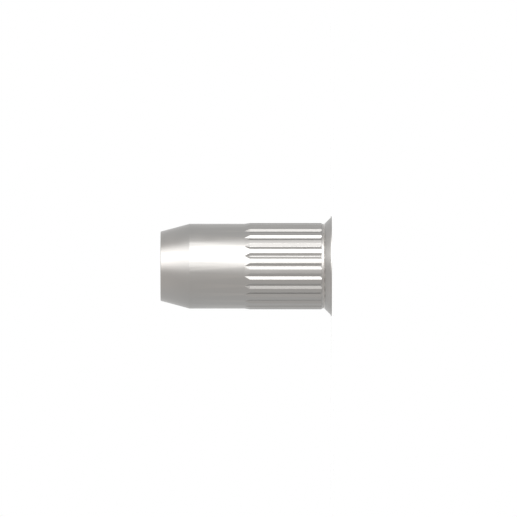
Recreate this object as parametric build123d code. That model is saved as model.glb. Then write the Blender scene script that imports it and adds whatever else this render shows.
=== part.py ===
from build123d import *
import math
import os

# A countersunk knurled rivet nut, M4, turned and rolled from one piece of steel.
# It stands on its head: the outer face of the head is at z = 0, the shank points up +Z,
# and Z is the axis. All sizes are in millimetres and degrees.

# Lengths along the axis
overall_length = 12.0
lip_thickness = 0.075         # thin cylindrical lip round the head
knurl_length = 5.4            # rolled band, from the collar to where its lead-in fades out
collar_length = 0.155         # plain ring between the neck and the knurl
lead_in_length = 0.393        # ramp by which the lands rise from the plain shank
collapse_depth = 6.0          # wide bore, whose thin wall folds when the nut is set

# Across the axis
head_diameter = 7.0
shank_diameter = 5.944
thread_diameter = 4.0         # major diameter
thread_depth = 0.35           # radial, from the major diameter to the wall of the tapped hole
lip_overhang = 0.085          # how far the lip stands out past the countersunk cone
neck_relief = 0.052           # how far the neck lies below the shank's surface
land_height = 0.05            # how far the knurl's lands stand above the shank's surface
screw_clearance = 0.1         # radial, between the screw and the wide bore
tip_wall = 0.428              # between the thread's major diameter and the outside of the tip

# Angles
head_angle = 90.0             # included angle of the countersunk cone
taper_angle = 15.0            # each side
drill_point_angle = 118.0     # left by the drill at the bottom of the wide bore
thread_mouth_angle = 90.0     # countersink that starts the thread

# Knurl grooves
groove_count = 26
groove_bite = 0.047           # how far the floor lies below the shank's surface
groove_floor_width = 0.062
groove_wall_angle = 25.1      # from the tangent plane
groove_setback = 0.097        # floor begins this far from the end of the collar
groove_end_slope = 25.0       # end wall beside the head
groove_run_out = 0.363        # the floor climbs to a point over this length

# Edges
tip_edge_radius = 0.04
head_mouth_chamfer = 0.1
thread_mouth_clearance = 0.1  # radial, countersink over the thread's major diameter

cutter_margin = 0.15          # how far cutting tools stand out of the metal
cutter_lift = 0.004           # how far a cutter clears the surface at its ends

# Radii and places that follow from the sizes above
head_radius = head_diameter / 2
shank_radius = shank_diameter / 2
thread_radius = thread_diameter / 2
cone_radius = head_radius - lip_overhang
neck_radius = shank_radius - neck_relief
land_radius = shank_radius + land_height
floor_radius = shank_radius - groove_bite
tapped_radius = thread_radius - thread_depth
wide_radius = thread_radius + screw_clearance
mouth_radius = thread_radius + thread_mouth_clearance
tip_radius = thread_radius + tip_wall
cone_height = (cone_radius - neck_radius) / math.tan(math.radians(head_angle / 2))
taper_length = (shank_radius - tip_radius) / math.tan(math.radians(taper_angle))
neck_z = lip_thickness + cone_height
collar_end_z = neck_z + collar_length
knurl_end_z = collar_end_z + knurl_length
lands_full_z = knurl_end_z - lead_in_length
taper_start_z = overall_length - taper_length


def outer_form():
    """The turned outside: lip, cone, neck, collar, knurl band, shank and entry taper."""
    with BuildPart() as form:
        with BuildSketch(Plane.XZ):
            with BuildLine():
                Polyline(
                    (0, 0),
                    (head_radius, 0),
                    (head_radius, lip_thickness),
                    (cone_radius, lip_thickness),
                    (neck_radius, neck_z),
                    (shank_radius, neck_z),
                    (shank_radius, collar_end_z),
                    (land_radius, collar_end_z),
                    (land_radius, lands_full_z),
                    (shank_radius, knurl_end_z),
                    (shank_radius, taper_start_z),
                    (tip_radius, overall_length),
                    (0, overall_length),
                    close=True,
                )
            make_face()
        revolve(axis=Axis.Z)
        tip_edge = form.edges().filter_by(GeomType.CIRCLE).sort_by(Axis.Z)[-1]
        fillet(tip_edge, tip_edge_radius)
    return form.part


def bore_form():
    """What is taken out of the middle: the wide bore, its drill cone and the tapped hole."""
    drill_cone = (wide_radius - tapped_radius) / math.tan(math.radians(drill_point_angle / 2))
    mouth_depth = (mouth_radius - tapped_radius) / math.tan(math.radians(thread_mouth_angle / 2))
    with BuildPart() as bore:
        with BuildSketch(Plane.XZ):
            with BuildLine():
                Polyline(
                    (0, -cutter_margin),
                    (wide_radius + head_mouth_chamfer + cutter_margin, -cutter_margin),
                    (wide_radius, head_mouth_chamfer),
                    (wide_radius, collapse_depth),
                    (tapped_radius, collapse_depth + drill_cone),
                    (tapped_radius, overall_length - mouth_depth),
                    (mouth_radius + cutter_margin, overall_length + cutter_margin),
                    (0, overall_length + cutter_margin),
                    close=True,
                )
            make_face()
        revolve(axis=Axis.Z)
    return bore.part


def groove_section(height, bottom_radius, bottom_width):
    """One slice of the groove cutter: a trapezoid that opens outwards at the wall angle."""
    top_radius = land_radius + cutter_margin
    half_bottom = bottom_width / 2
    half_top = half_bottom + (top_radius - bottom_radius) / math.tan(math.radians(groove_wall_angle))
    with BuildSketch(Plane.XY.offset(height)) as section:
        with BuildLine():
            Polyline(
                (half_bottom, -bottom_radius),
                (half_top, -top_radius),
                (-half_top, -top_radius),
                (-half_bottom, -bottom_radius),
                close=True,
            )
        make_face()
    return section.sketch.face()


def groove_cutter():
    """The groove that faces -Y: a slanted end wall by the head, a straight run, a pointed run-out."""
    lifted_radius = shank_radius + cutter_lift
    rise = lifted_radius - floor_radius
    end_wall_length = rise / math.tan(math.radians(groove_end_slope))
    lifted_width = groove_floor_width + 2 * rise / math.tan(math.radians(groove_wall_angle))
    floor_start_z = collar_end_z + groove_setback
    return loft(
        [
            groove_section(floor_start_z - end_wall_length, lifted_radius, lifted_width),
            groove_section(floor_start_z, floor_radius, groove_floor_width),
            groove_section(lands_full_z, floor_radius, groove_floor_width),
            groove_section(lands_full_z + groove_run_out, lifted_radius, cutter_lift),
        ],
        ruled=True,
    )


def rivet_nut():
    """The whole nut: the outside, less the bore, less one groove repeated round the axis."""
    grooves = PolarLocations(0, groove_count) * groove_cutter()
    return outer_form() - bore_form() - grooves


os.makedirs("parts", exist_ok=True)
nut = rivet_nut()
export_step(nut, "parts/rivet_nut.step")
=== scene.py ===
"""Visual model of a knurled, countersunk rivet nut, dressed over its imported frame.

The nut stands on its head: the head's outer face is at z = 0 and the shank points up +Z.
Lengths are in metres unless a name says otherwise.
"""

import math

import bmesh
import bpy
from bpy.props import FloatProperty, FloatVectorProperty, IntProperty, PointerProperty
from mathutils import Matrix, Vector


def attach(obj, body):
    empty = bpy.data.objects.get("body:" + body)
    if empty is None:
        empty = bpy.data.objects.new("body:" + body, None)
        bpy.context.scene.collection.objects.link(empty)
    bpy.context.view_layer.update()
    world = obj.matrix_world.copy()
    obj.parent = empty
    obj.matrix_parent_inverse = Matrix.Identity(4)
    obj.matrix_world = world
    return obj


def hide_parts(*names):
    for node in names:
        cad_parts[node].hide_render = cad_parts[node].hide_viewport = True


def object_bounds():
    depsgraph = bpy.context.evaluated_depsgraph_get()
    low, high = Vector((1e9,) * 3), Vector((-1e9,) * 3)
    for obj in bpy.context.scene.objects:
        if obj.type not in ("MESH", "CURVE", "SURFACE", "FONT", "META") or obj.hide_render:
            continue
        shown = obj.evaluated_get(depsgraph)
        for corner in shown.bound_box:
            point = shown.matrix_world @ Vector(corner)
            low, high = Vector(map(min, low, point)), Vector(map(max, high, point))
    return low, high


bl_info = {
    "name": "Rivet Nut Modeller",
    "version": (1, 0, 0),
    "blender": (4, 5, 0),
    "location": "3D View > Sidebar > Rivet Nut",
    "description": "Models a knurled rivet nut with a tapped thread, its plated finish and a studio",
    "category": "Object",
}

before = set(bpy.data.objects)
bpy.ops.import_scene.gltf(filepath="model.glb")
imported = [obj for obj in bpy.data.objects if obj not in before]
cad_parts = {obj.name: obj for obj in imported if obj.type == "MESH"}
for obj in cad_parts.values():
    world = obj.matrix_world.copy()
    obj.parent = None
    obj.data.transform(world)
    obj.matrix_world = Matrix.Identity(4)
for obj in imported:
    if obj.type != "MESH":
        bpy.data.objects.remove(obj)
CAD_LOW, CAD_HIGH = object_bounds()

NODE = "rivet_nut"
BODY = "root"
PIECE = "rivet_nut_shell"

MM = 0.001
UP = Vector((0.0, 0.0, 1.0))
CENTRE = Vector((0.0, 0.0, 0.0))

HAIR_MM = 0.0002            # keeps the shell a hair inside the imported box
NUT_HEIGHT_MM = (CAD_HIGH.z - CAD_LOW.z) / MM
NUT_WIDTH_MM = 2 * min(-CAD_LOW.x, -CAD_LOW.y, CAD_HIGH.x, CAD_HIGH.y) / MM - HAIR_MM

# Fineness of the mesh
LAND_STEPS = 3              # columns across half a land
WALL_STEPS = 3              # columns down one groove wall
ROUNDED_STEPS = 2           # columns round the edge of a land
MOST_ROUNDING = 0.25        # of a groove wall's width, the most that its edge is rounded
HALF_COLUMNS = 1 + WALL_STEPS + ROUNDED_STEPS + LAND_STEPS
EDGE_SEGMENTS = 3           # round each turned edge
BAND_ROWS = 4               # cuts along the straight part of the grooves
RUN_OUT_ROWS = 9            # cuts along the pointed end of the grooves
SPAN_SLACK = 0.3            # of a run, how far from its ends an edge that spans it may stop
TAP_STEPS_PER_TURN = 96
TAP_OVERLAP = 0.25          # of the thread's depth, how far the tap reaches into the open hole
MERGE_DISTANCE = 0.0001 * MM
SHARP_ANGLE = math.radians(23.5)        # a bend past this keeps a hard line
ROUNDED_EDGE_ANGLE = math.radians(8.0)  # a bend past this counts as a burnished edge

# Patterns of the plating, with scales in cycles per metre
WEAR = "burnished"          # name of the mesh attribute that marks the rubbed edges
RING_NOISE = {"Scale": 26000.0, "Detail": 3.0, "Roughness": 0.6}
CLOUD_NOISE = {"Scale": 900.0, "Detail": 4.0, "Roughness": 0.55}
GRAIN_NOISE = {"Scale": 22000.0, "Detail": 2.0, "Roughness": 0.5}
CLOUD_LOW = 0.3             # of the clouds, where the roughness is least
CLOUD_HIGH = 0.7            # of the clouds, where the roughness is most
# Painted light: the corner under the neck's step is given a paler metal colour, which lifts the shade there
PAINTED_LIGHT_REACH = 1.6          # of the neck's depth, how far the bright corner runs down the cone
PAINTED_LIGHT_SLACK = 0.01 * MM    # round the corner's edges

# Surroundings, floor and lens
WHITE = (1.0, 1.0, 1.0)
FRONT_TINT = (0.99, 0.962, 0.94)
TIP_TINT = (1.22, 1.19, 1.17)
FRONT_SPAN = (0.3, -0.6)    # Y of a direction, where the warm front begins and where it is full
TIP_SPAN = (0.5, 1.0)       # Z of a direction, where the lift over the tip begins and where it is full
FILL_STRENGTH = 0.7         # of the surroundings, as light on matt surfaces
FLOOR_GREY = (0.3, 0.3, 0.3)            # takes the shadow
FLOOR_GLOW = 0.85                       # keeps the rest of the floor pale
FLOOR_FADE = (0.3, 0.95)    # of the floor's radius, where it begins to fade and is clear
FLOOR_SIDES = 64
FLOOR_GAP = 0.01 * MM       # between the head and the floor
LENS_MM = 1200.0
SENSOR_MM = 36.0
CLIP_START = 0.1
CLIP_END = 10.0

# Sockets of a Mix node that mixes colours
MIX_FIRST = 6
MIX_SECOND = 7
MIX_RESULT = 2


def length(name, millimetres, description):
    """A length property, stored in metres."""
    return FloatProperty(
        name=name,
        description=description,
        default=millimetres * MM,
        min=0.0,
        precision=6,
        unit="LENGTH",
        subtype="DISTANCE",
    )


def angle(name, degrees, description):
    """An angle property, stored in radians."""
    return FloatProperty(
        name=name, description=description, default=math.radians(degrees), unit="ROTATION", subtype="ANGLE"
    )


def share(name, default, description):
    """A plain number from 0 to 1."""
    return FloatProperty(
        name=name, description=description, default=default, min=0.0, max=1.0, subtype="FACTOR"
    )


def radiance(name, default, description):
    """How bright a lamp looks, where a white background is 1."""
    return FloatProperty(name=name, description=description, default=default, min=0.0)


def colour(name, default, description):
    """A linear colour without alpha."""
    return FloatVectorProperty(
        name=name, description=description, default=default, size=3, min=0.0, max=1.0, subtype="COLOR"
    )


class BlankSizes(bpy.types.PropertyGroup):
    """Sizes of the turned blank: head, neck, shank and tip."""

    overall_length: length("Overall length", NUT_HEIGHT_MM, "From the head's outer face to the tip")
    head_diameter: length("Head diameter", NUT_WIDTH_MM, "Outside of the lip")
    shank_diameter: length("Shank diameter", 5.944, "Plain shank")
    lip_thickness: length("Lip thickness", 0.075, "Thin cylindrical lip round the head")
    lip_overhang: length("Lip overhang", 0.085, "How far the lip stands out past the cone")
    neck_relief: length("Neck relief", 0.052, "How far the neck lies below the shank")
    collar_length: length("Collar length", 0.155, "Plain ring between the neck and the knurl")
    tip_wall: length("Tip wall", 0.428, "Between the thread's major diameter and the tip's outside")
    head_angle: angle("Head angle", 90.0, "Included angle of the countersunk cone")
    taper_angle: angle("Taper angle", 15.0, "Slope of the entry taper")
    step_draft: length("Step draft", 0.012, "How far the small square steps lean along the axis")
    edge_break: length("Edge break", 0.008, "Rounding of a turned edge")
    tip_rounding: length("Tip rounding", 0.034, "Rounding of the outer edge of the tip")


class KnurlSizes(bpy.types.PropertyGroup):
    """Sizes of the rolled grooves."""

    groove_count: IntProperty(name="Grooves", description="Grooves round the shank", default=26, min=3)
    knurl_length: length("Knurl length", 5.4, "From the collar to where the lead-in fades out")
    lead_in_length: length("Lead-in length", 0.393, "Ramp by which the lands rise")
    land_height: length("Land height", 0.05, "How far the lands stand above the shank")
    groove_bite: length("Groove bite", 0.047, "How far the floor lies below the shank")
    floor_width: length("Floor width", 0.046, "Width of a groove's floor")
    wall_angle: angle("Wall angle", 25.1, "Slope of a groove's walls")
    end_slope: angle("End slope", 25.0, "Slope of the end wall beside the head")
    land_rounding: length("Land rounding", 0.005, "Rounding of the long edges of a land")


class BoreSizes(bpy.types.PropertyGroup):
    """Sizes of the wide bore and the tapped hole."""

    collapse_depth: length("Collapse depth", 6.0, "Depth of the wide bore from the head")
    screw_clearance: length("Screw clearance", 0.1, "Between the screw and the wide bore")
    head_chamfer: length("Head chamfer", 0.1, "Chamfer where the bore opens in the head")
    thread_diameter: length("Thread diameter", 4.0, "Major diameter of the thread")
    thread_depth: length("Thread depth", 0.35, "From the major diameter to the drilled wall")
    thread_pitch: length("Thread pitch", 0.7, "Advance of the thread in one turn")
    thread_angle: angle("Thread angle", 60.0, "Included angle of the thread")
    root_width: length("Root width", 0.0875, "Flat at the bottom of the thread")
    mouth_clearance: length("Mouth clearance", 0.1, "Countersink over the thread's major diameter")
    drill_point: angle("Drill point", 118.0, "Angle left by the drill at the bottom of the wide bore")


class PlatedFinish(bpy.types.PropertyGroup):
    """Colours and gloss of the plated steel, with a painted light for the neck's corner."""

    metal: colour("Metal", (0.322, 0.3165, 0.308), "Plated steel seen square on")
    cloud: colour("Cloud", (0.317, 0.312, 0.304), "Slightly duller patches of the plating")
    worn: colour("Worn", (0.375, 0.361, 0.347), "Burnished edges")
    # The Corner colour is painted light: a paler metal that lifts the dark line of shade in the corner under
    # the neck's step
    corner: colour("Corner", (0.61, 0.596, 0.578), "Bright metal left in the neck's corner")
    roughness: share("Roughness", 0.344, "Mean roughness of the plating")
    roughness_drift: share("Roughness drift", 0.03, "How much the roughness wanders")
    burnish: share("Burnish", 0.08, "How much smoother the edges are")
    turning_depth: length("Turning depth", 0.00008, "Depth of the turning marks")
    grain_depth: length("Grain depth", 0.00008, "Depth of the plating's grain")


class StudioLook(bpy.types.PropertyGroup):
    """Floor, lamps and camera."""

    floor: colour("Floor", (0.86, 0.86, 0.855), "Pale floor")
    floor_radius: length("Floor radius", 30.0, "Where the floor has faded out")
    key_radiance: radiance("Key radiance", 4.55, "Brightness of the key's middle")
    key_elevation: angle("Key elevation", 31.2, "Angle of the key above the axis, seen from the camera")
    key_turn: angle("Key turn", -8.3, "Angle of the key towards the head, seen from the camera")
    key_half_height: angle("Key half height", 43.8, "Half the height of the key, seen from the nut")
    key_half_width: angle("Key half width", 50.4, "Half the width of the key, seen from the nut")
    key_roll: angle("Key roll", 24.0, "Turn of the key about its own middle, up at the head's side")
    key_even_height: share("Key even height", 0.05, "Part of the key's height that is evenly bright")
    key_even_width: share("Key even width", 0.0, "Part of the key's width that is evenly bright")
    top_radiance: radiance("Top radiance", 1.7, "Brightness of the top lamp's middle")
    top_elevation: angle("Top elevation", 15.0, "Angle of the top lamp above the axis, seen from the camera")
    top_turn: angle("Top turn", -87.0, "Angle of the top lamp towards the head, seen from the camera")
    top_half_height: angle("Top half height", 15.6, "Half the height of the top lamp, seen from the nut")
    top_half_width: angle("Top half width", 25.8, "Half the width of the top lamp, seen from the nut")
    back_radiance: radiance("Back radiance", 1.6, "Brightness of the back lamp's middle")
    back_turn: angle("Back turn", 142.0, "Angle of the back lamp past the head, seen from the camera")
    back_half_height: angle("Back half height", 24.0, "Half the height of the back lamp, seen from the nut")
    back_half_width: angle("Back half width", 33.0, "Half the width of the back lamp, seen from the nut")
    lamp_distance: length("Lamp distance", 250.0, "From the nut to the lamps")
    camera_distance: length("Camera distance", 1208.0, "From the axis of the nut to the camera")
    aim_height: length("Aim height", 5.136, "Height on the nut that the camera looks at")
    aim_side: length("Aim side", 0.538, "How far beside the axis the camera looks")


# Places that follow from the sizes


def blank_radii(nut, knurl):
    """Radii of the cone, neck, shank, lands and tip."""
    head = nut.head_diameter / 2
    shank = nut.shank_diameter / 2
    return {
        "head": head,
        "cone": head - nut.lip_overhang,
        "neck": shank - nut.neck_relief,
        "shank": shank,
        "land": shank + knurl.land_height,
        "floor": shank - knurl.groove_bite,
    }


def knurl_heights(nut, knurl):
    """Heights at which the neck, collar and knurl begin and end."""
    radii = blank_radii(nut, knurl)
    cone_height = (radii["cone"] - radii["neck"]) / math.tan(nut.head_angle / 2)
    neck = nut.lip_thickness + cone_height
    lands_start = neck + nut.collar_length
    collar_end = lands_start - nut.step_draft
    end_wall = (radii["shank"] - radii["floor"]) / math.tan(knurl.end_slope)
    knurl_end = lands_start + knurl.knurl_length
    return {
        "neck": neck,
        "collar_start": neck + nut.step_draft,
        "collar_end": collar_end,
        "lands_start": lands_start,
        "floor_start": collar_end + end_wall,
        "lands_full": knurl_end - knurl.lead_in_length,
        "knurl_end": knurl_end,
    }


def facet_turn(nut, knurl):
    """Angle from the axis at which the two facets of a groove's pointed end run together."""
    radii = blank_radii(nut, knurl)
    half_width = knurl.floor_width / 2
    wall_width = (radii["shank"] - radii["floor"]) / math.tan(knurl.wall_angle)
    reach = math.hypot(knurl.lead_in_length, half_width)
    return math.atan2(half_width, knurl.lead_in_length) + math.asin(wall_width / reach)


def groove_shape(nut, knurl, height):
    """A groove's lowest radius, the half width of its floor and its wall's slope at a height."""
    heights = knurl_heights(nut, knurl)
    bottom = blank_radii(nut, knurl)["floor"]
    half_width = knurl.floor_width / 2
    slope = knurl.wall_angle
    if height < heights["floor_start"]:
        rise = (heights["floor_start"] - height) * math.tan(knurl.end_slope)
        bottom += rise
        half_width += rise / math.tan(slope)
    elif height > heights["lands_full"]:
        turn = facet_turn(nut, knurl)
        slope = math.atan(math.tan(slope) * math.cos(turn))
        half_width -= (height - heights["lands_full"]) * math.tan(turn)
        if half_width < 0.0:
            bottom -= half_width * math.tan(slope)
            half_width = 0.0
    return bottom, half_width, slope


def wall_reach(shape, radius):
    """Angle from the groove's middle at which its wall reaches a radius."""
    bottom, half_width, slope = shape
    level = (bottom - half_width * math.tan(slope)) * math.cos(slope) / radius
    return max(0.0, math.acos(max(-1.0, min(1.0, level))) - slope)


def on_circle(radius, turn):
    """A point seen along the axis, with the groove's middle at zero."""
    return Vector((radius * math.sin(turn), radius * math.cos(turn)))


def half_section(nut, knurl, height, skin):
    """Points from the middle of a groove to the middle of the land beside it, at one height."""
    half_pitch = math.pi / knurl.groove_count
    shape = groove_shape(nut, knurl, height)
    straight = groove_shape(nut, knurl, knurl_heights(nut, knurl)["lands_full"])
    bottom = min(shape[0], skin)
    floor_turn = wall_reach(shape, bottom)
    edge_turn = min(wall_reach(shape, skin), wall_reach(straight, skin))
    floor_edge = on_circle(bottom, floor_turn)
    land_edge = on_circle(skin, edge_turn)
    wall_width = (land_edge - floor_edge).length
    rounding = min(knurl.land_rounding, wall_width * MOST_ROUNDING)
    wall_top = land_edge.lerp(floor_edge, rounding / wall_width) if wall_width > 0 else land_edge
    land_turn = edge_turn + rounding / skin
    land_start = on_circle(skin, land_turn)
    crown = (wall_top + land_start) / 4 + land_edge / 2     # middle of the curve round the edge
    points = [on_circle(bottom, 0.0), floor_edge]
    points += [floor_edge.lerp(wall_top, step / WALL_STEPS) for step in range(1, WALL_STEPS + 1)]
    points += [crown, land_start]
    for step in range(1, LAND_STEPS + 1):
        points.append(on_circle(skin, land_turn + (half_pitch - land_turn) * step / LAND_STEPS))
    return points


# Shapes


def nut_corners(nut, knurl, bore):
    """Corners of the turned section once round the metal: radius, height and rounding."""
    radii = blank_radii(nut, knurl)
    heights = knurl_heights(nut, knurl)
    wide = bore.thread_diameter / 2 + bore.screw_clearance
    drilled = bore.thread_diameter / 2 - bore.thread_depth
    mouth = bore.thread_diameter / 2 + bore.mouth_clearance
    tip = bore.thread_diameter / 2 + nut.tip_wall
    drill_cone = (wide - drilled) / math.tan(bore.drill_point / 2)
    taper_start = nut.overall_length - (radii["shank"] - tip) / math.tan(nut.taper_angle)
    edge = nut.edge_break
    fine = edge / 2
    return [
        (wide + bore.head_chamfer, 0.0, edge),
        (radii["head"], 0.0, edge),
        (radii["head"], nut.lip_thickness, edge),
        (radii["cone"], nut.lip_thickness, edge),
        (radii["neck"], heights["neck"], edge),
        (radii["shank"], heights["collar_start"], edge),
        (radii["shank"], heights["collar_end"], 0.0),
        (radii["land"], heights["lands_start"], edge),
        (radii["land"], heights["floor_start"], fine),
        (radii["land"], heights["lands_full"], fine),
        (radii["shank"], heights["knurl_end"], 0.0),
        (radii["shank"], taper_start, edge),
        (tip, nut.overall_length, nut.tip_rounding),
        (mouth, nut.overall_length, edge),
        (drilled, nut.overall_length - (mouth - drilled), 0.0),
        (drilled, bore.collapse_depth + drill_cone, 0.0),
        (wide, bore.collapse_depth, 0.0),
        (wide, bore.head_chamfer, edge),
    ]


def draw_section(bm, corners, turn):
    """Draws the closed section in the half plane at an angle from -Y, with its edges rounded."""
    verts = []
    for radius, height, _ in corners:
        verts.append(bm.verts.new((radius * math.sin(turn), -radius * math.cos(turn), height)))
    for first, second in zip(verts, verts[1:] + verts[:1]):
        bm.edges.new((first, second))
    roundings = sorted({rounding for _, _, rounding in corners if rounding > 0})
    for size in roundings:
        chosen = [vert for vert, corner in zip(verts, corners) if corner[2] == size]
        bmesh.ops.bevel(
            bm,
            geom=chosen,
            offset=size,
            offset_type="OFFSET",
            segments=EDGE_SEGMENTS,
            profile=0.5,
            affect="VERTICES",
            material=-1,
            clamp_overlap=True,
        )


def subdivide_run(bm, low, high, inner, cuts):
    """Adds rows to the outside edge of the section that spans two heights."""
    slack = SPAN_SLACK * (high - low)
    run = []
    for edge in bm.edges:
        first, second = sorted(vert.co.z for vert in edge.verts)
        outside = min(vert.co.xy.length for vert in edge.verts) > inner
        if outside and first < low + slack and second > high - slack and second - first > slack:
            run.append(edge)
    if not run:
        raise RuntimeError("no edge spans the heights that need rows")
    bmesh.ops.subdivide_edges(bm, edges=run, cuts=cuts, use_grid_fill=False)


def press_groove(bm, nut, knurl):
    """Moves the columns of one pitch to the places that the groove and its lands give them."""
    half_pitch = math.pi / knurl.groove_count
    radii = blank_radii(nut, knurl)
    heights = knurl_heights(nut, knurl)
    band_start = heights["collar_end"] - MERGE_DISTANCE
    band_end = heights["knurl_end"] + MERGE_DISTANCE
    plain = half_section(nut, knurl, heights["lands_full"], radii["land"])
    plain_turns = [math.atan2(point.x, point.y) for point in plain]
    for vert in bm.verts:
        radius = vert.co.xy.length
        turn = math.atan2(vert.co.x, -vert.co.y)
        column = round(turn / half_pitch * HALF_COLUMNS)
        side = -1 if column < 0 else 1
        if band_start < vert.co.z < band_end and radius > radii["floor"]:
            place = half_section(nut, knurl, vert.co.z, radius)[abs(column)]
        else:
            place = on_circle(radius, plain_turns[abs(column)])
        vert.co.x = side * place.x
        vert.co.y = -place.y


def turn_and_knurl(nut, knurl, bore):
    """The shell before tapping: one pitch of the section, grooved and repeated round the axis."""
    pitch = 2 * math.pi / knurl.groove_count
    heights = knurl_heights(nut, knurl)
    radii = blank_radii(nut, knurl)
    bm = bmesh.new()
    draw_section(bm, nut_corners(nut, knurl, bore), -pitch / 2)
    inner = radii["floor"]
    subdivide_run(bm, heights["floor_start"], heights["lands_full"], inner, BAND_ROWS)
    subdivide_run(bm, heights["lands_full"], heights["knurl_end"], inner, RUN_OUT_ROWS)
    bmesh.ops.spin(
        bm,
        geom=bm.verts[:] + bm.edges[:],
        cent=CENTRE,
        axis=UP,
        angle=pitch,
        steps=2 * HALF_COLUMNS,
        use_merge=False,
        use_duplicate=False,
    )
    press_groove(bm, nut, knurl)
    copies = knurl.groove_count - 1
    bmesh.ops.spin(
        bm,
        geom=bm.verts[:] + bm.edges[:] + bm.faces[:],
        cent=CENTRE,
        axis=UP,
        angle=pitch * copies,
        steps=copies,
        use_merge=False,
        use_duplicate=True,
    )
    bmesh.ops.remove_doubles(bm, verts=bm.verts[:], dist=MERGE_DISTANCE)
    bmesh.ops.recalc_face_normals(bm, faces=bm.faces[:])
    return bm


def tap_form(nut, bore):
    """The coil of metal that the tap takes out, from inside the wide bore to past the tip."""
    root_radius = bore.thread_diameter / 2
    drilled = root_radius - bore.thread_depth
    inner = drilled - bore.thread_depth * TAP_OVERLAP
    half_root = bore.root_width / 2
    half_base = half_root + (root_radius - drilled) * math.tan(bore.thread_angle / 2)
    start = bore.collapse_depth - bore.thread_pitch
    turns = math.ceil((nut.overall_length - start) / bore.thread_pitch) + 1
    bm = bmesh.new()
    section = [
        (inner, -half_base),
        (drilled, -half_base),
        (root_radius, -half_root),
        (root_radius, half_root),
        (drilled, half_base),
        (inner, half_base),
    ]
    verts = [bm.verts.new((radius, 0.0, start + height)) for radius, height in section]
    face = bm.faces.new(verts)
    bmesh.ops.spin(
        bm,
        geom=verts + list(face.edges) + [face],
        cent=CENTRE,
        axis=UP,
        dvec=UP * bore.thread_pitch / TAP_STEPS_PER_TURN,
        angle=2 * math.pi * turns,
        steps=TAP_STEPS_PER_TURN * turns,
        use_merge=False,
        use_duplicate=False,
    )
    bmesh.ops.recalc_face_normals(bm, faces=bm.faces[:])
    return bm


def new_piece(name, bm):
    """Makes an object of a finished bmesh, at the origin."""
    mesh = bpy.data.meshes.new(name)
    bm.to_mesh(mesh)
    bm.free()
    piece = bpy.data.objects.new(name, mesh)
    bpy.context.scene.collection.objects.link(piece)
    return piece


def cut_with(piece, cutter):
    """Takes the cutter's form out of a piece and removes the cutter."""
    cut = piece.modifiers.new("Tapped", "BOOLEAN")
    cut.operation = "DIFFERENCE"
    cut.solver = "EXACT"
    cut.object = cutter
    graph = bpy.context.evaluated_depsgraph_get()
    mesh = bpy.data.meshes.new_from_object(piece.evaluated_get(graph), depsgraph=graph)
    if len(mesh.polygons) <= len(piece.data.polygons):
        raise RuntimeError("the tap cut nothing")
    piece.modifiers.clear()
    old = piece.data
    piece.data = mesh
    mesh.name = piece.name
    bpy.data.meshes.remove(old)
    bpy.data.objects.remove(cutter)


def point_rank(vert):
    """A number for where a point lies, which no two points share."""
    return vert.co.x + math.pi * vert.co.y + math.e * vert.co.z


def span_rank(element):
    """A number for where an edge or face lies, whichever of its points comes first."""
    return math.fsum(point_rank(vert) for vert in element.verts)


def put_in_order(piece):
    """Sorts the mesh by place, because the cut leaves it in an order that varies."""
    bm = bmesh.new()
    bm.from_mesh(piece.data)
    bm.verts.sort(key=point_rank)
    bm.edges.sort(key=span_rank)
    bm.faces.sort(key=span_rank)
    bm.to_mesh(piece.data)
    bm.free()


def mark_edges(piece):
    """Keeps the true edges sharp, smooths the rest and notes which edges are burnished."""
    bm = bmesh.new()
    bm.from_mesh(piece.data)
    wear = bm.verts.layers.float.new(WEAR)
    for face in bm.faces:
        face.smooth = True
    for edge in bm.edges:
        if len(edge.link_faces) != 2:
            raise RuntimeError("the shell isn't closed")
        bend = edge.calc_face_angle_signed(0.0)
        edge.smooth = abs(bend) < SHARP_ANGLE
        if bend > ROUNDED_EDGE_ANGLE:
            for vert in edge.verts:
                vert[wear] = 1.0
    bm.to_mesh(piece.data)
    bm.free()


def face_weighted(piece):
    """Makes the broad faces set the shading, so that the rounded edges stay narrow."""
    least = math.cos(SHARP_ANGLE)
    bm = bmesh.new()
    bm.from_mesh(piece.data)
    pulls = {face: face.normal * (face.calc_area() / MM**2) for face in bm.faces}
    normals = []
    for face in bm.faces:
        for vert in face.verts:
            pull = Vector()
            for other in vert.link_faces:
                if other.normal.dot(face.normal) > least:
                    pull += pulls[other]
            normals.append(pull.normalized())
    bm.free()
    piece.data.normals_split_custom_set(normals)


# Materials


def add_node(tree, kind, inputs=None, **settings):
    """Adds a node with its settings, and sets or links its inputs."""
    node = tree.nodes.new(kind)
    for name, value in settings.items():
        setattr(node, name, value)
    for name, value in (inputs or {}).items():
        socket = node.inputs[name]
        if isinstance(value, bpy.types.NodeSocket):
            tree.links.new(value, socket)
        else:
            socket.default_value = value
    return node


def arithmetic(tree, operation, *values, use_clamp=False):
    """The result of a Math node."""
    inputs = dict(enumerate(values))
    node = add_node(tree, "ShaderNodeMath", inputs, operation=operation, use_clamp=use_clamp)
    return node.outputs["Value"]


def blend(tree, factor, first, second):
    """A colour that goes from the first to the second with the factor."""
    inputs = {"Factor": factor, MIX_FIRST: first, MIX_SECOND: second}
    return add_node(tree, "ShaderNodeMix", inputs, data_type="RGBA").outputs[MIX_RESULT]


def smooth_ramp(tree, value, start, end, low=0.0, high=1.0):
    """Goes smoothly from low to high while the value goes from start to end."""
    inputs = {"Value": value, "From Min": start, "From Max": end, "To Min": low, "To Max": high}
    node = add_node(tree, "ShaderNodeMapRange", inputs, interpolation_type="SMOOTHSTEP")
    return node.outputs["Result"]


def with_alpha(rgb):
    """A colour socket's four numbers."""
    return (rgb[0], rgb[1], rgb[2], 1.0)


def empty_tree(owner):
    """Clears the nodes of a material, world or lamp and returns the tree."""
    owner.use_nodes = True
    owner.node_tree.nodes.clear()
    return owner.node_tree


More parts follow.
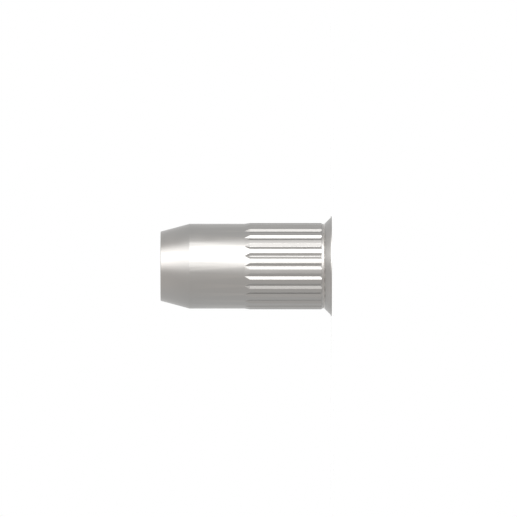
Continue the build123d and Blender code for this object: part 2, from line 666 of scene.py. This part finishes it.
def radius_and_height(tree):
    """The place on the object, its distance from the axis and its height along it."""
    place = add_node(tree, "ShaderNodeTexCoord").outputs["Object"]
    parts = add_node(tree, "ShaderNodeSeparateXYZ", {"Vector": place})
    flat = add_node(tree, "ShaderNodeCombineXYZ", {"X": parts.outputs["X"], "Y": parts.outputs["Y"]})
    radius = add_node(tree, "ShaderNodeVectorMath", {0: flat.outputs["Vector"]}, operation="LENGTH")
    return place, radius.outputs["Value"], parts.outputs["Z"]


def painted_light_in_neck(tree, radius, height, nut, knurl):
    """1 in the sharp corner under the neck's step, fading out down the cone, where the metal is painted
    paler to lift the corner's shade.
    """
    radii = blank_radii(nut, knurl)
    heights = knurl_heights(nut, knurl)
    reach = nut.neck_relief * PAINTED_LIGHT_REACH
    low = heights["neck"] - reach
    high = heights["collar_start"]
    fading = smooth_ramp(tree, radius, radii["shank"], radii["neck"] + reach, 1.0, 0.0)
    level = arithmetic(tree, "COMPARE", height, (low + high) / 2, (high - low) / 2 + PAINTED_LIGHT_SLACK)
    outside = arithmetic(tree, "GREATER_THAN", radius, radii["neck"] - PAINTED_LIGHT_SLACK)
    ring = arithmetic(tree, "MULTIPLY", level, outside)
    return arithmetic(tree, "MULTIPLY", ring, fading)


def worn_share(tree, clouds):
    """How far the plating is rubbed: patches along the burnished edges."""
    wear = add_node(tree, "ShaderNodeAttribute", attribute_name=WEAR, attribute_type="GEOMETRY")
    return arithmetic(tree, "MULTIPLY", wear.outputs["Fac"], clouds, use_clamp=True)


def plating_gloss(tree, finish, clouds, worn):
    """Roughness that drifts with the clouds and falls at the burnished edges."""
    drift = add_node(
        tree,
        "ShaderNodeMapRange",
        {
            "Value": clouds,
            "From Min": CLOUD_LOW,
            "From Max": CLOUD_HIGH,
            "To Min": finish.roughness - finish.roughness_drift,
            "To Max": finish.roughness + finish.roughness_drift,
        },
    )
    return arithmetic(tree, "MULTIPLY_ADD", worn, -finish.burnish, drift.outputs["Result"])


def plating_relief(tree, finish, place, radius, height):
    """Turning marks that run round the nut, with the plating's grain over them."""
    rings_at = add_node(tree, "ShaderNodeCombineXYZ", {"X": radius, "Y": height})
    at = {"Vector": rings_at.outputs["Vector"], **RING_NOISE}
    rings = add_node(tree, "ShaderNodeTexNoise", at, noise_dimensions="2D")
    grain = add_node(tree, "ShaderNodeTexNoise", {"Vector": place, **GRAIN_NOISE})
    turned = add_node(
        tree,
        "ShaderNodeBump",
        {"Height": rings.outputs["Fac"], "Distance": finish.turning_depth, "Strength": 1.0},
    )
    grained = add_node(
        tree,
        "ShaderNodeBump",
        {
            "Height": grain.outputs["Fac"],
            "Distance": finish.grain_depth,
            "Strength": 1.0,
            "Normal": turned.outputs["Normal"],
        },
    )
    return grained.outputs["Normal"]


def plated_steel(finish, nut, knurl):
    """Satin plating over turned steel: faint turning rings, cloudy patches, burnished edges and a painted
    light in the neck's corner.
    """
    material = bpy.data.materials.new("plated_steel_satin")
    tree = empty_tree(material)
    place, radius, height = radius_and_height(tree)
    clouds = add_node(tree, "ShaderNodeTexNoise", {"Vector": place, **CLOUD_NOISE}).outputs["Fac"]
    worn = worn_share(tree, clouds)
    # Painted light: the neck's corner is mixed to a paler metal, which lifts the shade there
    corner = painted_light_in_neck(tree, radius, height, nut, knurl)
    clouded = blend(tree, clouds, with_alpha(finish.metal), with_alpha(finish.cloud))
    rubbed = blend(tree, worn, clouded, with_alpha(finish.worn))
    shader = add_node(
        tree,
        "ShaderNodeBsdfPrincipled",
        {
            "Base Color": blend(tree, corner, rubbed, with_alpha(finish.corner)),
            "Metallic": 1.0,
            "Roughness": plating_gloss(tree, finish, clouds, worn),
            "Normal": plating_relief(tree, finish, place, radius, height),
        },
    )
    add_node(tree, "ShaderNodeOutputMaterial", {"Surface": shader.outputs["BSDF"]})
    return material


def seen_directly(tree):
    """1 for camera, glossy and transmission rays, 0 for the rest."""
    path = add_node(tree, "ShaderNodeLightPath")
    first = arithmetic(tree, "ADD", path.outputs["Is Camera Ray"], path.outputs["Is Glossy Ray"])
    return arithmetic(tree, "ADD", first, path.outputs["Is Transmission Ray"], use_clamp=True)


def mirrored_room(tree):
    """The surroundings as the metal mirrors them: white, warmer in front and lighter over the tip."""
    towards = add_node(tree, "ShaderNodeTexCoord").outputs["Generated"]
    parts = add_node(tree, "ShaderNodeSeparateXYZ", {"Vector": towards})
    front = smooth_ramp(tree, parts.outputs["Y"], *FRONT_SPAN)
    tipward = smooth_ramp(tree, parts.outputs["Z"], *TIP_SPAN)
    warmed = blend(tree, front, with_alpha(WHITE), with_alpha(FRONT_TINT))
    return blend(tree, tipward, warmed, with_alpha(TIP_TINT))


def white_world():
    """Surroundings of strength 1 where they are seen, and weaker as light on matt surfaces."""
    world = bpy.data.worlds.new("studio_white")
    tree = empty_tree(world)
    path = add_node(tree, "ShaderNodeLightPath")
    colour_seen = blend(tree, path.outputs["Is Glossy Ray"], with_alpha(WHITE), mirrored_room(tree))
    seen = add_node(tree, "ShaderNodeBackground", {"Color": colour_seen, "Strength": 1.0})
    fill = add_node(
        tree, "ShaderNodeBackground", {"Color": with_alpha(WHITE), "Strength": FILL_STRENGTH}
    )
    mixed = add_node(
        tree,
        "ShaderNodeMixShader",
        {0: seen_directly(tree), 1: fill.outputs["Background"], 2: seen.outputs["Background"]},
    )
    add_node(tree, "ShaderNodeOutputWorld", {"Surface": mixed.outputs["Shader"]})
    bpy.context.scene.world = world


def floor_material(studio):
    """Pale floor that keeps a soft shadow near the nut and fades into the white further out."""
    material = bpy.data.materials.new("studio_floor")
    tree = empty_tree(material)
    _, radius, _ = radius_and_height(tree)
    diffuse = add_node(tree, "ShaderNodeBsdfDiffuse", {"Color": with_alpha(FLOOR_GREY)})
    glow = add_node(
        tree, "ShaderNodeEmission", {"Color": with_alpha(studio.floor), "Strength": FLOOR_GLOW}
    )
    pale = add_node(tree, "ShaderNodeAddShader", {0: diffuse.outputs["BSDF"], 1: glow.outputs["Emission"]})
    clear = add_node(tree, "ShaderNodeBsdfTransparent")
    start, end = (studio.floor_radius * part for part in FLOOR_FADE)
    faded = add_node(
        tree,
        "ShaderNodeMixShader",
        {
            0: smooth_ramp(tree, radius, start, end),
            1: pale.outputs["Shader"],
            2: clear.outputs["BSDF"],
        },
    )
    add_node(tree, "ShaderNodeOutputMaterial", {"Surface": faded.outputs["Shader"]})
    return material


# Stage


def lay_floor(studio):
    """A round floor just under the head."""
    bm = bmesh.new()
    bmesh.ops.create_circle(bm, cap_ends=True, segments=FLOOR_SIDES, radius=studio.floor_radius)
    bmesh.ops.translate(bm, verts=bm.verts[:], vec=-UP * FLOOR_GAP)
    floor = new_piece("studio_floor", bm)
    floor.data.materials.append(floor_material(studio))
    # The metal mirrors the white surroundings and no edge of the floor
    floor.visible_glossy = False
    floor.visible_shadow = False


def placed(middle, right, up, back):
    """The matrix of a lamp or camera at a place, from the ways that its own axes point."""
    turned = Matrix((right, up, back)).transposed()
    return Matrix.Translation(middle) @ turned.to_4x4()


def soft_edges(lamp, middle, sides):
    """Makes a lamp fade smoothly from its even part to its four edges, as a diffuser does."""
    tree = empty_tree(lamp)
    place = add_node(tree, "ShaderNodeNewGeometry").outputs["Position"]
    off = add_node(tree, "ShaderNodeVectorMath", {0: place, 1: middle}, operation="SUBTRACT")
    fades = []
    for way, half_size, even_part in sides:
        inputs = {0: off.outputs["Vector"], 1: way / half_size}
        along = add_node(tree, "ShaderNodeVectorMath", inputs, operation="DOT_PRODUCT")
        part = arithmetic(tree, "ABSOLUTE", along.outputs["Value"])
        fades.append(smooth_ramp(tree, part, even_part, 1.0, 1.0, 0.0))
    glow = add_node(
        tree,
        "ShaderNodeEmission",
        {"Color": with_alpha(WHITE), "Strength": arithmetic(tree, "MULTIPLY", *fades)},
    )
    add_node(tree, "ShaderNodeOutputLight", {"Surface": glow.outputs["Emission"]})


def hang_lamp(
    name,
    aim,
    distance,
    brightness,
    turn,
    half_height,
    half_width,
    elevation=0.0,
    roll=0.0,
    even_height=0.0,
    even_width=0.0,
):
    """A rectangular soft lamp that faces the nut, placed by angles seen from the camera."""
    level_reach = math.cos(elevation)
    toward = Vector(
        (math.sin(elevation), -math.cos(turn) * level_reach, -math.sin(turn) * level_reach)
    )
    level = Vector((0.0, math.sin(turn), -math.cos(turn)))
    along = Matrix.Rotation(roll, 3, toward) @ level
    across = toward.cross(along)
    middle = aim + toward * distance
    lamp = bpy.data.lights.new(name, "AREA")
    lamp.shape = "RECTANGLE"
    lamp.size = 2 * distance * math.tan(half_width)
    lamp.size_y = 2 * distance * math.tan(half_height)
    # A flat lamp's power is its radiance times pi times its area
    lamp.energy = brightness * math.pi * lamp.size * lamp.size_y
    sides = ((along, lamp.size / 2, even_width), (across, lamp.size_y / 2, even_height))
    soft_edges(lamp, middle, sides)
    holder = bpy.data.objects.new(name, lamp)
    holder.matrix_world = placed(middle, along, across, toward)
    holder.visible_camera = False
    bpy.context.scene.collection.objects.link(holder)


def hang_lamps(studio, aim):
    """The wide key on the camera's side, a weaker lamp over the tip and a low one behind."""
    hang_lamp(
        "soft_key",
        aim,
        studio.lamp_distance,
        studio.key_radiance,
        studio.key_turn,
        studio.key_half_height,
        studio.key_half_width,
        elevation=studio.key_elevation,
        roll=studio.key_roll,
        even_height=studio.key_even_height,
        even_width=studio.key_even_width,
    )
    hang_lamp(
        "soft_top",
        aim,
        studio.lamp_distance,
        studio.top_radiance,
        studio.top_turn,
        studio.top_half_height,
        studio.top_half_width,
        elevation=studio.top_elevation,
    )
    hang_lamp(
        "soft_back",
        aim,
        studio.lamp_distance,
        studio.back_radiance,
        studio.back_turn,
        studio.back_half_height,
        studio.back_half_width,
    )


def set_camera(studio, aim):
    """A long lens square to the axis, rolled so that the tip points left."""
    lens = bpy.data.cameras.new("camera")
    lens.lens = LENS_MM
    lens.sensor_width = SENSOR_MM
    lens.clip_start = CLIP_START
    lens.clip_end = CLIP_END
    camera = bpy.data.objects.new("camera", lens)
    right = -UP
    up = Vector((1.0, 0.0, 0.0))
    back = right.cross(up)
    camera.matrix_world = placed(aim + back * studio.camera_distance, right, up, back)
    bpy.context.scene.collection.objects.link(camera)
    bpy.context.scene.camera = camera


# Operators, panel and registration


class OBJECT_OT_model_rivet_nut(bpy.types.Operator):
    """Model the rivet nut: turned, knurled, tapped and plated"""

    bl_idname = "object.model_rivet_nut"
    bl_label = "Model Rivet Nut"
    bl_options = {"REGISTER", "UNDO"}

    def execute(self, context):
        scene = context.scene
        nut, knurl, bore = scene.rivet_blank, scene.rivet_knurl, scene.rivet_bore
        shell = new_piece(PIECE, turn_and_knurl(nut, knurl, bore))
        tap = new_piece("tap", tap_form(nut, bore))
        cut_with(shell, tap)
        put_in_order(shell)
        mark_edges(shell)
        face_weighted(shell)
        shell.data.materials.clear()
        shell.data.materials.append(plated_steel(scene.rivet_finish, nut, knurl))
        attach(shell, BODY)
        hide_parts(NODE)
        return {"FINISHED"}


class SCENE_OT_set_rivet_studio(bpy.types.Operator):
    """Set up the pale floor, the white surroundings, the soft lamps and the camera"""

    bl_idname = "scene.set_rivet_studio"
    bl_label = "Set Up Studio"
    bl_options = {"REGISTER", "UNDO"}

    def execute(self, context):
        studio = context.scene.rivet_studio
        aim = Vector((studio.aim_side, 0.0, studio.aim_height))
        white_world()
        lay_floor(studio)
        hang_lamps(studio, aim)
        set_camera(studio, aim)
        context.scene.view_settings.view_transform = "Standard"
        return {"FINISHED"}


class VIEW3D_PT_rivet_nut(bpy.types.Panel):
    """Sidebar panel with the nut's sizes, finish and studio"""

    bl_idname = "VIEW3D_PT_rivet_nut"
    bl_label = "Rivet Nut"
    bl_space_type = "VIEW_3D"
    bl_region_type = "UI"
    bl_category = "Rivet Nut"

    def draw(self, context):
        layout = self.layout
        for attribute, heading in GROUP_HEADINGS.items():
            box = layout.box()
            box.label(text=heading)
            group = getattr(context.scene, attribute)
            for name in group.__annotations__:
                box.prop(group, name)
        layout.operator(OBJECT_OT_model_rivet_nut.bl_idname)
        layout.operator(SCENE_OT_set_rivet_studio.bl_idname)


GROUP_HEADINGS = {
    "rivet_blank": "Turned blank",
    "rivet_knurl": "Knurl",
    "rivet_bore": "Bore and thread",
    "rivet_finish": "Plated finish",
    "rivet_studio": "Studio",
}
GROUPS = {
    "rivet_blank": BlankSizes,
    "rivet_knurl": KnurlSizes,
    "rivet_bore": BoreSizes,
    "rivet_finish": PlatedFinish,
    "rivet_studio": StudioLook,
}
CLASSES = (
    BlankSizes,
    KnurlSizes,
    BoreSizes,
    PlatedFinish,
    StudioLook,
    OBJECT_OT_model_rivet_nut,
    SCENE_OT_set_rivet_studio,
    VIEW3D_PT_rivet_nut,
)


def register():
    """Registers the classes and hangs the property groups on the scene."""
    for each in CLASSES:
        bpy.utils.register_class(each)
    for attribute, group in GROUPS.items():
        setattr(bpy.types.Scene, attribute, PointerProperty(type=group))


def unregister():
    """Takes back everything that register added."""
    for attribute in GROUPS:
        delattr(bpy.types.Scene, attribute)
    for each in reversed(CLASSES):
        bpy.utils.unregister_class(each)


def main():
    """Builds the whole scene."""
    register()
    bpy.ops.object.model_rivet_nut()
    bpy.ops.scene.set_rivet_studio()


if __name__ == "__main__":
    main()
